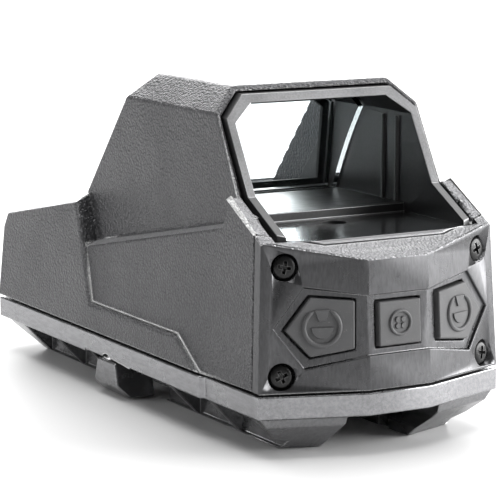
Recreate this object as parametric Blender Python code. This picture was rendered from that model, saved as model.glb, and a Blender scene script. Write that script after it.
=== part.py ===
"""Reflex red dot sight: a hooded sight window over an electronics bay, on a quick-release rail clamp.

Blender units are metres. Dimensions below are millimetres, turned into metres by at() and MM.
World frame: +X right, +Y towards the target, +Z up, with the origin on the rail seat.
Drawing frame, used by at(): y starts at the body's outer rear corners, z at the seam over the base.
"""

from math import cos, hypot, pi, radians, sin

import bmesh
import bpy
from mathutils import Matrix, Vector

MM = 0.001
GAP = 0.35  # clearance between pieces that touch

# Placing of the drawing frame
REAR_Y = -60.0
SEAM_Z = 5.0

# Body
HALF_WIDTH = 29.6
BAND_HALF_WIDTH = 30.6  # the raised front band and battery box
BAND_EDGE = 0.8  # chamfer along the band's rear and lower edges
LENGTH = 128.3
DRAFT = 0.044
FACET_HALF = 7.45  # half width of the middle rear facet
FACET_DEPTH = 7.66
REAR_LEAN = 0.054
FRONT_DEPTH = 5.5
FRONT_LEAN = 0.13
SEAM = 0.35

# Hood over the sight window
HOOD_HALF = 25.3
HOOD_WALL = 1.25
ROOF_HALF = 19.4
ROOF_Z = 60.4
SHOULDER_Z = 54.9
RIM_Y = 14.46  # rear rim at its lowest point
RIM_Z = 38.65
RIM_SLOPE = 0.583
SHELL_SETBACK = 1.5  # hood edge ahead of the rim
RAKE_Y = 67.6  # raked front at shoulder height
RAKE_SLOPE = 0.844
CHEEK_SLOPE = 0.54
CHEEK_INNER = 24.9
FLOOR_Z = 31.0
VALLEY_SLOPE = 0.72

# Optics housing
HOUSING_OUT = HOOD_HALF - HOOD_WALL - GAP
HOUSING_WALL = 1.9
HOUSING_ROOF = ROOF_Z - HOOD_WALL - GAP
HOUSING_FRONT_SET = 14.6  # front frame behind the raked hood edge
FLOOR_LOW = 28.6

# Rear panel and keypad, by depth from the rear facets
PANEL_T = 2.4
RECESS = 0.8
COUNTERBORE = 1.6
FLANGE = (2.75, 3.4)
STEM_END = 5.4
MEMBRANE = (4.55, 5.2)
SWITCH = (6.6, 8.0)
BOARD = (8.35, 9.6)
KEYPAD_Z = (6.3, 22.6)
SCREW_RUN_Z = ((17.2, 26.2), (18.4, 3.8))
SIDE_BUTTON = ((17.5, 13.3), (12.2, 19.9), (2.9, 19.0), (3.1, 9.1), (12.4, 7.7))
MIDDLE_BUTTON = ((5.1, 9.2), (5.1, 18.4), (-5.1, 18.4), (-5.1, 9.2))
SIDE_RECESS = ((19.8, 13.8), (13.4, 22.0), (0.0, 19.9), (0.0, 7.6), (13.6, 5.2))
MIDDLE_RECESS = ((7.45, 7.6), (7.45, 19.9), (-7.45, 19.9), (-7.45, 7.6))

# Clamp: z of the rail seat, the clamp's foot and the rail section it grips
SEAT_Z = -5.0
BASE_TOP = -0.15
FOOT_Z = -13.3
FOOT_HALF = 21.0
CORE_HALF = 20.6
RAIL_HALF = 10.9
LIP_HALF = 8.4
RIB_PITCH = 19.4
RIB_T = 1.5
BAR_Y = 68.0
BAR_HALF = 2.4
BAR_Z = (-7.5, -3.9)
LEVER_X = -26.4
JAW_Y = (24.0, 106.0)
POCKET_TOP = SEAT_Z + 0.4  # roof of the jaw and lever pockets, above the seat

# Adjusters and battery, on the right-hand side
EMITTER_Y = 19.0
WINDAGE_Z = 21.0
ELEVATION_Z = 8.6
DIAL_R = 4.6
SHAFT_R = 1.5
BATTERY_Y = 109.0
BATTERY_Z = 12.6
BATTERY_R = 8.4
BATTERY_X = (-12.0, 22.4)
BORE_R = 8.8
CAP_R = 10.4


def at(x, y, z):
    """A point of the drawing frame as world coordinates in metres."""
    return Vector((x, y + REAR_Y, z + SEAM_Z)) * MM


def clear_scene():
    for obj in list(bpy.data.objects):
        bpy.data.objects.remove(obj, do_unlink=True)


def material(name, color, roughness, metallic=0.0, transmission=0.0):
    mat = bpy.data.materials.new(name)
    mat.use_nodes = True
    shader = mat.node_tree.nodes["Principled BSDF"]
    shader.inputs["Base Color"].default_value = (*color, 1.0)
    shader.inputs["Roughness"].default_value = roughness
    shader.inputs["Metallic"].default_value = metallic
    shader.inputs["Transmission Weight"].default_value = transmission
    return mat


def obj_from(name, bm):
    """Link a new object that holds the closed bmesh."""
    bmesh.ops.remove_doubles(bm, verts=bm.verts, dist=1e-7)
    bmesh.ops.recalc_face_normals(bm, faces=bm.faces)
    mesh = bpy.data.meshes.new(name)
    bm.to_mesh(mesh)
    bm.free()
    obj = bpy.data.objects.new(name, mesh)
    bpy.context.scene.collection.objects.link(obj)
    return obj


def box_bm(low, high):
    bm = bmesh.new()
    bmesh.ops.create_cube(bm, size=1.0)
    size = Vector(high) - Vector(low)
    centre = (Vector(high) + Vector(low)) / 2
    for vert in bm.verts:
        vert.co = at(*(centre + Vector((vert.co.x * size.x, vert.co.y * size.y, vert.co.z * size.z))))
    return bm


def box(name, low, high):
    return obj_from(name, box_bm(low, high))


def slice_off(bm, planes):
    """Remove what lies on the outer side of each (point, outward normal) plane."""
    for point, normal in planes:
        geometry = bm.verts[:] + bm.edges[:] + bm.faces[:]
        cut = bmesh.ops.bisect_plane(
            bm, geom=geometry, dist=1e-8, plane_co=at(*point), plane_no=Vector(normal), clear_outer=True
        )
        edges = [item for item in cut["geom_cut"] if isinstance(item, bmesh.types.BMEdge)]
        if edges:
            bmesh.ops.edgenet_fill(bm, edges=edges)


def trimmed(name, low, high, planes):
    """A box trimmed to the inner side of each plane."""
    bm = box_bm(low, high)
    slice_off(bm, planes)
    return obj_from(name, bm)


def prism(name, outline, axis, low, high):
    """An outline drawn across the axis, extruded from low to high along it."""
    place = {
        "X": lambda a, b, t: at(t, a, b),
        "Y": lambda a, b, t: at(a, t, b),
        "Z": lambda a, b, t: at(a, b, t),
    }[axis]
    return loft(name, [[place(a, b, t) for a, b in outline] for t in (low, high)])


def loft(name, rings):
    """A closed solid through rings of equal point count, given in world metres."""
    return obj_from(name, loft_bm(rings))


def loft_bm(rings):
    bm = bmesh.new()
    loops = [[bm.verts.new(point) for point in ring] for ring in rings]
    count = len(rings[0])
    for first, second in zip(loops, loops[1:]):
        for i in range(count):
            j = (i + 1) % count
            bm.faces.new((first[i], first[j], second[j], second[i]))
    bm.faces.new(list(reversed(loops[0])))
    bm.faces.new(loops[-1])
    return bm


def turned(name, profile, point, axis, segments=32):
    """Rings of (distance along the axis, radius) about an axis through a drawing-frame point."""
    turn = Vector(axis).to_track_quat("Z", "Y").to_matrix()
    rings = []
    for along, radius in profile:
        ring = []
        for i in range(segments):
            angle = 2 * pi * i / segments
            local = Vector((radius * cos(angle), radius * sin(angle), along)) * MM
            ring.append(at(*point) + turn @ local)
        rings.append(ring)
    return loft(name, rings)


def upright(name, x, y, radius, low, high, segments=32):
    """A plain cylinder along Z."""
    return turned(name, [(low, radius), (high, radius)], (x, y, 0), (0, 0, 1), segments)


def across(name, y, z, radius, low, high, segments=32):
    """A plain cylinder along X."""
    return turned(name, [(low, radius), (high, radius)], (0, y, z), (1, 0, 0), segments)


def combine(target, operation, *others):
    """Boolean the other objects into the target and remove them."""
    for other in others:
        modifier = target.modifiers.new(other.name, "BOOLEAN")
        modifier.operation = operation
        modifier.solver = "EXACT"
        modifier.object = other
    graph = bpy.context.evaluated_depsgraph_get()
    mesh = bpy.data.meshes.new_from_object(target.evaluated_get(graph))
    target.modifiers.clear()
    target.data = mesh
    for other in others:
        bpy.data.objects.remove(other, do_unlink=True)
    return target


def join(target, *others):
    return combine(target, "UNION", *others)


def cut(target, *others):
    return combine(target, "DIFFERENCE", *others)


def keep(target, *others):
    return combine(target, "INTERSECT", *others)


def finish(obj, mat, origin=None, smooth=False):
    """Give the piece its material and put its origin on its joint axis."""
    obj.data.materials.clear()
    obj.data.materials.append(mat)
    if origin is not None:
        place = at(*origin)
        obj.data.transform(Matrix.Translation(-place))
        obj.location = place
    if smooth:
        obj.data.shade_smooth()
        obj.data.set_sharp_from_angle(angle=radians(35))
    return obj


# ---------------------------------------------------------------- rear facets

FACET_LEN = hypot(HALF_WIDTH - FACET_HALF, FACET_DEPTH)
FACET_RUN = ((HALF_WIDTH - FACET_HALF) / FACET_LEN, FACET_DEPTH / FACET_LEN)


def facet_normal(side):
    """Outward normal of the middle (0), left (-1) or right (1) rear facet, with its lean."""
    if side == 0:
        return Vector((0, -1, REAR_LEAN)).normalized()
    return Vector((side * FACET_RUN[1], -FACET_RUN[0], REAR_LEAN)).normalized()


def rear_planes(offset):
    """The three rear facets, moved forward into the body by offset."""
    planes = []
    for side in (-1, 0, 1):
        normal = facet_normal(side)
        point = Vector((side * FACET_HALF, -FACET_DEPTH, 0)) - normal * offset
        planes.append((point, normal))
    return planes


def facet_point(side, run, height, depth):
    """A point on a rear facet: run along it from the middle, height, and depth into the body."""
    normal = facet_normal(side)
    if side == 0:
        base = Vector((run, -FACET_DEPTH, 0))
    else:
        base = Vector((side * (FACET_HALF + run * FACET_RUN[0]), -FACET_DEPTH + run * FACET_RUN[1], 0))
    return base + Vector((0, REAR_LEAN * height, height)) - normal * depth


def facet_prism(name, side, outline, depth_from, depth_to):
    rings = []
    for depth in (depth_from, depth_to):
        rings.append([at(*facet_point(side, run, height, depth)) for run, height in outline])
    return loft(name, rings)


def facet_slab(name, outline, depth_out, depth_in):
    """A folded plate that follows the three facets, trimmed to an outline seen from the rear."""
    span = (-40, -20, -5), (40, 16, 45)
    slab = trimmed(name, *span, rear_planes(depth_out))
    inner = trimmed("inner", (-41, -21, -6), (41, 17, 46), rear_planes(depth_in))
    cut(slab, inner)
    return keep(slab, prism("outline", outline, "Y", -19, 15))


# ---------------------------------------------------------------- outer shell


def side_planes(half):
    return [((side * half, 0, 0), (side, 0, DRAFT)) for side in (-1, 1)]


def roof_chamfers(half, shoulder, roof_half, roof):
    rise, run = roof - shoulder, half - roof_half
    return [((side * half, 0, shoulder), (side * rise, 0, run)) for side in (-1, 1)]


def rim_plane(setback):
    return ((0, RIM_Y + setback, RIM_Z), (0, -1, RIM_SLOPE))


def rake_plane(setback):
    return ((0, RAKE_Y - setback, SHOULDER_Z), (0, 1, RAKE_SLOPE))


def mid_body():
    ledge = [((side * 28.6, 80.4, 19.5), (side * 0.41, 0.199, 1)) for side in (-1, 1)]
    return trimmed("mid", (-32, 8, SEAM), (32, 86, 45), side_planes(HALF_WIDTH) + ledge)


def cheek_block():
    outer = [((side * 28.4, 13.0, 37.0), (side * 0.62, -0.38, 0.69)) for side in (-1, 1)]
    slope = ((0, 14.5, 38.5), (0, -CHEEK_SLOPE, 1))
    front = ((0, 17.4, 33.0), (0, 1, 0.35))
    planes = side_planes(HALF_WIDTH) + rear_planes(0) + outer + [slope, front]
    return trimmed("cheeks", (-32, -9, SEAM), (32, 25, 45), planes)


def valley_cutter():
    rear_z = FLOOR_Z - 12 * VALLEY_SLOPE
    outline = [(-13, rear_z), (-1, FLOOR_Z), (22, FLOOR_Z), (22, 50), (-13, 50)]
    return prism("valley", outline, "X", -CHEEK_INNER, CHEEK_INNER)


def hood_block():
    planes = roof_chamfers(HOOD_HALF, SHOULDER_Z, ROOF_HALF, ROOF_Z)
    planes += [rim_plane(SHELL_SETBACK), rake_plane(0)]
    return trimmed("hood", (-HOOD_HALF, 5, 8), (HOOD_HALF, 95, ROOF_Z), planes)


def front_band():
    """The raised band: low beside the bay, then the full height of the battery box."""
    outline = [(24, SEAM), (34.8, 6.9), (77, 6.9), (81.8, 20), (86.6, 32), (140, 32), (140, SEAM)]
    bm = loft_bm([[at(x, y, z) for y, z in outline] for x in (-33, 33)])
    bmesh.ops.recalc_face_normals(bm, faces=bm.faces)
    planes = side_planes(BAND_HALF_WIDTH)
    planes += [((0, 93, 30.6), (0, 0.184, 0.983)), ((0, 90, 30.75), (0, 0, 1))]
    planes += [((side * 28, 90.1, 28.8), (side * 0.502, 0.164, 0.85)) for side in (-1, 1)]
    slice_off(bm, planes + front_planes())
    bmesh.ops.recalc_face_normals(bm, faces=bm.faces)
    edges = [edge for edge in bm.edges if on_band_outline(edge)]
    bmesh.ops.bevel(bm, geom=edges, offset=BAND_EDGE * MM, segments=1, affect="EDGES")
    return obj_from("band", bm)


def on_band_outline(edge):
    """Whether an edge lies between a side face and the band's rear or lower boundary."""
    side, end = sorted(edge.link_faces, key=lambda face: -abs(face.normal.x))
    faces_back = end.normal.y < -0.2 or end.normal.z > 0.9
    return abs(side.normal.x) > 0.9 and abs(end.normal.x) < 0.1 and faces_back


def front_planes():
    """The leaning three-facet front end with its chamfered brow."""
    run = hypot(HALF_WIDTH - FACET_HALF, FRONT_DEPTH)
    slant = (FRONT_DEPTH / run, (HALF_WIDTH - FACET_HALF) / run)
    planes = []
    for side in (-1, 0, 1):
        across, along = (0, 1) if side == 0 else (side * slant[0], slant[1])
        corner = Vector((side * FACET_HALF, LENGTH + 1.2 + FRONT_DEPTH, 0))
        planes.append((corner, (across, along, FRONT_LEAN)))
        brow = corner + Vector((0, -FRONT_LEAN * 17.5, 17.5))
        planes.append((brow, (across * 0.86, along * 0.86, 0.505)))
    return planes


def groove_cutters():
    """The notch between the hood's side wall and the battery box, one each side, down to the ledge."""
    cutters = []
    for side in (-1, 1):
        wall = ((side * 29.5, 82.3, 20), (-side * 0.64, 0.72, -0.28))
        floor = ((side * 28.6, 80.4, 19.45), (-side * 0.41, -0.199, -1))
        near, far = sorted((side * HOOD_HALF, side * 33))
        cutters.append(trimmed("groove", (near, 72, 15), (far, 96, 40), [wall, floor]))
    return cutters


def tunnel_cutter():
    """The space in the shell that the optics housing fills, open at the rear and the raked front."""
    half = HOOD_HALF - HOOD_WALL
    planes = roof_chamfers(half, SHOULDER_Z - 0.6, ROOF_HALF - 0.6, ROOF_Z - HOOD_WALL)
    planes.append(((0, 84, FLOOR_LOW - GAP), (0, 0.8, -1)))
    return trimmed("tunnel", (-half, -14, FLOOR_LOW - GAP), (half, 99, ROOF_Z - HOOD_WALL), planes)


def bay_cutters():
    """The electronics bay under the window, open to the base, and the space behind the rear panel."""
    return [
        box("bay", (-26.4, 16, -2), (26.4, 78, 17.5)),
        box("bay_rear", (-20.2, -9, 2.6), (20.2, 30, 24.6)),
        box("bay_mid", (-26.0, -9, KEYPAD_Z[0]), (26.0, 30, KEYPAD_Z[1])),
        box("bay_up", (-16, 12, 10), (16, 40, 26.4)),
    ]


def behind_panel(depth):
    """Everything further into the body than the given depth from the rear facets."""
    return trimmed("behind", (-60, -30, -30), (60, 200, 90), rear_planes(depth))


def panel_hole(name, side, point, radius, depth_from, depth_to):
    """A round cutter or peg along a rear facet's normal."""
    run, height = point
    start = facet_point(side, run, height, depth_from)
    return turned(name, [(0, radius), (depth_to - depth_from, radius)], start, -facet_normal(side), 24)


def each_panel_screw():
    return [(side, point) for point in SCREW_RUN_Z for side in (-1, 1)]


def outer_shell(mat):
    shell = join(mid_body(), cheek_block())
    cut(shell, valley_cutter())
    join(shell, hood_block(), front_band())
    cut(shell, *groove_cutters())
    cut(shell, tunnel_cutter(), *bay_cutters())
    pillars = [upright("pillar", x, 12, 3.4, 0.5, 9, 20) for x in (-6.5, 6.5)]
    bosses = [across("boss", EMITTER_Y, z, 6.0, 20, 27.5) for z in (WINDAGE_Z, ELEVATION_Z)]
    join(shell, *pillars, *bosses)
    keep(shell, behind_panel(PANEL_T + GAP))
    cutters = [panel_hole("tap", side, point, SHAFT_R, 0, 9.5) for side, point in each_panel_screw()]
    cutters.append(upright("light_port", 0, EMITTER_Y, 3.6, 20, 32, 24))
    for z in (WINDAGE_Z, ELEVATION_Z):
        cutters.append(across("dial_seat", EMITTER_Y, z, DIAL_R + GAP, dial_face(z) - 1.9, 40))
        cutters.append(across("dial_bore", EMITTER_Y, z, SHAFT_R + GAP, 10, 33, 24))
    cutters.append(across("battery_bore", BATTERY_Y, BATTERY_Z, BORE_R, -22.4, 40, 40))
    cutters.append(across("cap_seat", BATTERY_Y, BATTERY_Z, CAP_R + 0.5, 28.3, 40, 40))
    cutters += [upright("thread", x, y, SHAFT_R, -2, 6.4, 20) for x, y in base_screw_points()]
    cut(shell, *cutters)
    shell.name = "outer_shell"
    return finish(shell, mat)


def dial_face(z):
    """x of an adjuster's outer face, just under the drafted side wall."""
    return HALF_WIDTH - DRAFT * z - 0.35


# ---------------------------------------------------------------- optics


def window_inside(extra, low, front, rear=-25):
    """The clear section of the sight window, grown by extra all round."""
    half = HOUSING_OUT - HOUSING_WALL + extra
    roof = HOUSING_ROOF - HOUSING_WALL + extra
    planes = roof_chamfers(half, SHOULDER_Z - 1.9 + extra * 0.6, ROOF_HALF - 2.6 + extra * 0.6, roof)
    return trimmed("inside", (-half, rear, low), (half, front, roof), planes)


def optics_housing(mat):
    half = HOUSING_OUT
    chamfers = roof_chamfers(half, SHOULDER_Z - 0.8, ROOF_HALF - 0.8, HOUSING_ROOF)
    tube = trimmed(
        "optics_housing",
        (-half, 4, FLOOR_LOW),
        (half, 95, HOUSING_ROOF),
        chamfers + [rim_plane(0), rake_plane(HOUSING_FRONT_SET)],
    )
    wing_slope = ((0, RIM_Y, RIM_Z), (0, -CHEEK_SLOPE, 1))
    wings = trimmed("wings", (-half, -0.6, FLOOR_LOW), (half, 24, 50), [wing_slope])
    sill = box("sill", (-half, 40, FLOOR_LOW), (half, 83.5, FLOOR_Z - 0.6))
    join(tube, wings, sill)
    keep(tube, behind_panel(PANEL_T + GAP))
    cut(tube, window_inside(0, FLOOR_Z, 120))
    step = box("step", (-half + 0.5, 25, FLOOR_Z - 1), (half - 0.5, 60.5, 33.0))
    ribs = []
    for side in (-1, 1):
        for y in (27.5, 33.0):
            ends = sorted((side * (half - HOUSING_WALL - 0.6), side * (half - 0.5)))
            ribs.append(box("rib", (ends[0], y, FLOOR_Z - 1), (ends[1], y + 0.9, SHOULDER_Z - 3)))
    join(tube, step, *ribs)
    cut(tube, reflector_blank("slot", 0.7, 0.35), window_blank("slot2", 0.7, 0.35), light_hole(2.7))
    return finish(tube, mat)


def light_hole(radius):
    return upright("hole", 0, EMITTER_Y, radius, 26, 34, 24)


def reflector_blank(name, grow_low, grow):
    """The tilted, slightly curved glass that folds the aiming dot into the view."""
    low, high = Vector((55.2, 30.4 - grow_low)), Vector((40.9, 55.4 + grow_low))
    along = (high - low).normalized()
    across = Vector((along.y, -along.x))
    half_t = 1.0 + grow
    steps = 8
    faces = ([], [])
    for i in range(steps + 1):
        share = i / steps
        bow = 1.1 * (1 - (2 * share - 1) ** 2)
        middle = low.lerp(high, share) + across * bow
        faces[0].append(tuple(middle + across * half_t))
        faces[1].append(tuple(middle - across * half_t))
    outline = faces[0] + faces[1][::-1]
    half = HOUSING_OUT - HOUSING_WALL - GAP + (0.7 if grow else 0)
    return prism(name, outline, "X", -half, half)


def reflector_lens(mat):
    lens = reflector_blank("reflector_lens", 0, 0)
    keep(lens, window_inside(-GAP, 20, 100))
    return finish(lens, mat, smooth=True)


def window_blank(name, grow_low, grow):
    """The nearly upright glass that closes the front of the housing."""
    low, high = (58.0, 31.6 - grow_low), (55.0, 55.6 + grow_low)
    half_t = 0.8 + grow
    outline = [
        (low[0] - half_t, low[1]),
        (low[0] + half_t, low[1]),
        (high[0] + half_t, high[1]),
        (high[0] - half_t, high[1]),
    ]
    half = HOUSING_OUT - HOUSING_WALL - GAP + (0.7 if grow else 0)
    return prism(name, outline, "X", -half, half)


def front_window(mat):
    pane = window_blank("front_window", 0, 0)
    keep(pane, window_inside(-GAP, 20, 100))
    return finish(pane, mat)


def window_retainer(mat):
    """The thin frame that holds the front glass from ahead."""
    outline = [(59.3, 33.4), (60.4, 33.4), (57.6, 56.2), (56.4, 56.2)]
    half = HOUSING_OUT - HOUSING_WALL - GAP
    frame = prism("window_retainer", outline, "X", -half, half)
    keep(frame, window_inside(-GAP, 20, 100))
    cut(frame, window_inside(-2.1, 34.9, 100))
    return finish(frame, mat)


def emitter_window(mat):
    return finish(upright("emitter_window", 0, EMITTER_Y, 2.3, 29.2, 30.4, 24), mat, smooth=True)


# ---------------------------------------------------------------- rear panel


def grown(outline, distance):
    """A convex outline moved outwards by distance."""
    area = sum(a[0] * b[1] - b[0] * a[1] for a, b in zip(outline, outline[1:] + outline[:1]))
    turn = 1 if area > 0 else -1
    edges = []
    for a, b in zip(outline, outline[1:] + outline[:1]):
        direction = (Vector(b) - Vector(a)).normalized()
        normal = Vector((direction.y, -direction.x)) * turn
        edges.append((Vector(a) + normal * distance, direction))
    points = []
    for (p, d), (q, e) in zip(edges[-1:] + edges[:-1], edges):
        share = ((q.x - p.x) * e.y - (q.y - p.y) * e.x) / (d.x * e.y - d.y * e.x)
        points.append(tuple(p + d * share))
    return points


def button_outline(side):
    return list(MIDDLE_BUTTON if side == 0 else SIDE_BUTTON)


def button_centre(side):
    return (0.0, 13.8) if side == 0 else (9.6, 13.8)


def rear_end_cap(mat):
    """The folded rear panel, with a brow that carries the valley's slope up to the window's floor."""
    cap = cheek_block()
    cap.name = "rear_end_cap"
    hollow = cut(behind_panel(PANEL_T), box("brow", (-23.5, -20, FLOOR_LOW), (23.5, -0.95, 40)))
    cut(cap, valley_cutter(), hollow)
    cutters = []
    for side in (-1, 0, 1):
        recess = list(MIDDLE_RECESS if side == 0 else SIDE_RECESS)
        cutters.append(facet_prism("recess", side, recess, -3, RECESS))
        cutters.append(facet_prism("port", side, grown(button_outline(side), GAP), -3, 6))
    for side, point in each_panel_screw():
        cutters.append(panel_hole("bore", side, point, 2.95, -2, COUNTERBORE))
        cutters.append(panel_hole("way", side, point, SHAFT_R, 0, 6))
    cut(cap, *cutters)
    return finish(cap, mat)


def panel_screw(name, side, point, mat):
    """A cross-recessed pan-head screw."""
    run, height = point
    start = facet_point(side, run, height, 0.25)
    inward = -facet_normal(side)
    profile = [(0, 1.5), (0.35, 2.2), (0.7, 2.45), (1.1, 2.45), (1.1, 1.15), (7.6, 1.15), (8.0, 0.7)]
    screw = turned(name, profile, start, inward, 24)
    arms = []
    for turn in (0.6, 0.6 + pi / 2):
        across = (1.35 * cos(turn), 1.35 * sin(turn))
        side_way = (-0.33 * sin(turn), 0.33 * cos(turn))
        corners = []
        for a, b in ((1, 1), (-1, 1), (-1, -1), (1, -1)):
            corners.append((run + a * across[0] + b * side_way[0], height + a * across[1] + b * side_way[1]))
        arms.append(facet_prism("arm", side, corners, -1, 0.95))
    cut(screw, join(*arms))
    return finish(screw, mat, smooth=True)


def button(name, side, mat):
    """A key with the flange that keeps it in, and the stem that reaches its switch."""
    outline = button_outline(side)
    key = facet_prism(name, side, outline, -0.25, FLANGE[1])
    flange = facet_prism("flange", side, grown(outline, 0.7), *FLANGE)
    stem = panel_hole("stem", side, button_centre(side), 2.0, FLANGE[0], STEM_END)
    join(key, flange, stem)
    return finish(key, mat, origin=facet_point(side, *button_centre(side), 0))


def keypad_membrane(mat):
    low, high = KEYPAD_Z
    outline = [(-25.4, low + 0.5), (25.4, low + 0.5), (25.4, high - 0.6), (-25.4, high - 0.6)]
    sheet = facet_slab("keypad_membrane", outline, *MEMBRANE)
    holes = [panel_hole("hole", side, button_centre(side), 2.5, 2, 8) for side in (-1, 0, 1)]
    cut(sheet, *holes)
    return finish(sheet, mat)


def control_board(mat):
    low, high = KEYPAD_Z
    outline = [(-22.0, low + 0.5), (22.0, low + 0.5), (22.0, high - 0.6), (-22.0, high - 0.6)]
    return finish(facet_slab("control_board", outline, *BOARD), mat)


def key_switch(name, side, mat):
    run, height = button_centre(side)
    corners = ((-3, -3), (3, -3), (3, 3), (-3, 3))
    square = [(run + a, height + b) for a, b in corners]
    body = facet_prism(name, side, square, SWITCH[0] + 0.3, SWITCH[1])
    join(body, panel_hole("dome", side, (run, height), 1.9, SWITCH[0], SWITCH[1]))
    return finish(body, mat)


# ---------------------------------------------------------------- emitter and adjusters


def emitter_carriage(mat):
    """The cradle that the elevation screw lifts, with rails for the emitter block."""
    y = EMITTER_Y
    cradle = box("emitter_carriage", (-12, y - 4.5, 11.2), (12, y + 4.5, 13.8))
    posts = [box("post", (x, y - 4.5, 13), (x + 2.4, y + 4.5, 20)) for x in (-12, 9.6)]
    join(cradle, *posts)
    cut(cradle, across("clear", y, WINDAGE_Z, SHAFT_R + 0.7, 8, 30, 24))
    return finish(cradle, mat, origin=(0, y, ELEVATION_Z + SHAFT_R))


def emitter_module(mat):
    y = EMITTER_Y
    block = box("emitter_module", (-5, y - 4, 14.2), (5, y + 4, 23.4))
    join(block, upright("barrel", 0, y, 2.9, 22, 27.2, 24))
    cut(block, upright("aperture", 0, y, 1.3, 25.6, 29, 16))
    return finish(block, mat, origin=(0, y, 14.2))


def adjuster_dial(name, z, reach, mat):
    """A coin-slotted dial with its shaft, turned about X."""
    face = dial_face(z)
    profile = [(reach, 1.0), (reach + 0.6, SHAFT_R), (face - 1.5, SHAFT_R)]
    profile += [(face - 1.5, DIAL_R), (face - 0.4, DIAL_R), (face, DIAL_R - 0.4)]
    dial = turned(name, profile, (0, EMITTER_Y, z), (1, 0, 0), 32)
    slot = box("slot", (face - 0.9, EMITTER_Y - 6, z - 0.55), (face + 2, EMITTER_Y + 6, z + 0.55))
    cut(dial, slot)
    return finish(dial, mat, origin=(face, EMITTER_Y, z), smooth=True)


# ---------------------------------------------------------------- battery


def battery_cell(mat):
    low, high = BATTERY_X
    profile = [(low, BATTERY_R - 0.5), (low + 0.5, BATTERY_R), (high - 1.6, BATTERY_R)]
    profile += [(high - 1.1, BATTERY_R - 0.5), (high - 1.1, 3.2), (high, 3.2)]
    return finish(turned("battery_cell", profile, (0, BATTERY_Y, BATTERY_Z), (1, 0, 0), 40), mat, smooth=True)


def contact_spring(mat):
    """A tapering coil of round wire, computed turn by turn."""
    curve = bpy.data.curves.new("contact_spring", "CURVE")
    curve.dimensions = "3D"
    curve.bevel_depth = 0.4 * MM
    curve.bevel_resolution = 1
    curve.use_fill_caps = True
    turns, per_turn = 4, 14
    spline = curve.splines.new("POLY")
    spline.points.add(turns * per_turn)
    for i, point in enumerate(spline.points):
        share = i / (turns * per_turn)
        angle = 2 * pi * turns * share
        radius = 6.2 - 3.0 * share
        x = -20.3 + 7.5 * share
        point.co = (*at(x, BATTERY_Y + radius * cos(angle), BATTERY_Z + radius * sin(angle)), 1)
    obj = bpy.data.objects.new("contact_spring", curve)
    bpy.context.scene.collection.objects.link(obj)
    obj.data.materials.append(mat)
    return obj


def contact_plate(mat):
    return finish(across("contact_plate", BATTERY_Y, BATTERY_Z, 7.6, -22.0, -21.2), mat, smooth=True)


def ribbed_ring(x, radius, height, centre, count=20):
    """A ring of points about X whose radius rises by height at each of the grip ribs."""
    points = []
    for i in range(count):
        for share, rise in ((0.0, 1), (0.3, 1), (0.45, 0), (0.85, 0)):
            angle = 2 * pi * (i + share) / count
            r = radius + rise * height
            points.append(at(x, centre[1] + r * cos(angle), centre[2] + r * sin(angle)))
    return points


def battery_cap(mat):
    """Quarter-turn cap: a ribbed grip, a coin slot and a plug with a seal groove."""
    centre = (0, BATTERY_Y, BATTERY_Z)
    profile = [(22.9, 7.4), (23.3, 8.2), (24.3, 8.2), (24.3, 7.2), (25.9, 7.2), (25.9, 8.2), (29.5, 8.2)]
    cap = turned("battery_cap", profile, centre, (1, 0, 0), 40)
    low = CAP_R - 0.55
    rings = [(28.65, low, 0.55), (30.9, low, 0.55), (31.6, low - 0.7, 0.1)]
    join(cap, loft("grip", [ribbed_ring(x, radius, height, centre) for x, radius, height in rings]))
    cut(cap, box("coin_slot", (30.4, BATTERY_Y - 7, BATTERY_Z - 0.8), (33, BATTERY_Y + 7, BATTERY_Z + 0.8)))
    return finish(cap, mat, origin=(28.65, BATTERY_Y, BATTERY_Z), smooth=True)


def cap_seal(mat):
    body = across("cap_seal", BATTERY_Y, BATTERY_Z, 8.5, 24.55, 25.65, 40)
    cut(body, across("bore", BATTERY_Y, BATTERY_Z, 7.45, 24, 26, 40))
    return finish(body, mat, smooth=True)


# ---------------------------------------------------------------- clamp base


def plan(half, inset, band=0.0):
    """The body's outline seen from above, drawn in by inset at both ends; band widens the front part."""
    rear, front = inset, LENGTH - inset
    wide = half + band
    tail = rear - FACET_DEPTH * (half - FACET_HALF) / (HALF_WIDTH - FACET_HALF)
    nose = front + FRONT_DEPTH * (wide - FACET_HALF) / (HALF_WIDTH - FACET_HALF)
    right = [(FACET_HALF, tail), (half, rear), (half, 22.6), (wide, 23.6)]
    right += [(wide, front), (FACET_HALF, nose)]
    return right + [(-x, y) for x, y in reversed(right)]


def level(outline, z):
    return [at(x, y, z) for x, y in outline]


def base_screw_points():
    return [(side * 6.5, y) for y in (12, 88) for side in (-1, 1)]


def rib_stops():
    """y of each gusset between the clamp's flank pockets."""
    return [2.2 + RIB_PITCH * i for i in range(7)]


def clamp_under():
    """The clamp below the plate: raked flanks with gussets, and the rail channel."""
    over = SEAT_Z + 0.3
    under = loft(
        "under",
        [level(plan(FOOT_HALF, 6.6), FOOT_Z), level(plan(27.2, 0.5), SEAT_Z - 2), level(plan(29.2, 0.5), over)],
    )
    channel = [(-11.4, over + 1), (-11.4, SEAT_Z), (-12.6, -15), (LIP_HALF, -15), (LIP_HALF, -10.9)]
    channel += [(RAIL_HALF, -8.4), (RAIL_HALF, over + 1)]
    cutters = [prism("channel", channel, "Y", -30, 160)]
    stops = rib_stops()
    for low, high in zip(stops, stops[1:]):
        for side in (-1, 1):
            inner, outer = sorted((side * CORE_HALF, side * 40))
            cutters.append(box("flank", (inner, low + RIB_T, FOOT_Z + 0.5), (outer, high, SEAT_Z - 0.7)))
    return cut(under, *cutters)


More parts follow.
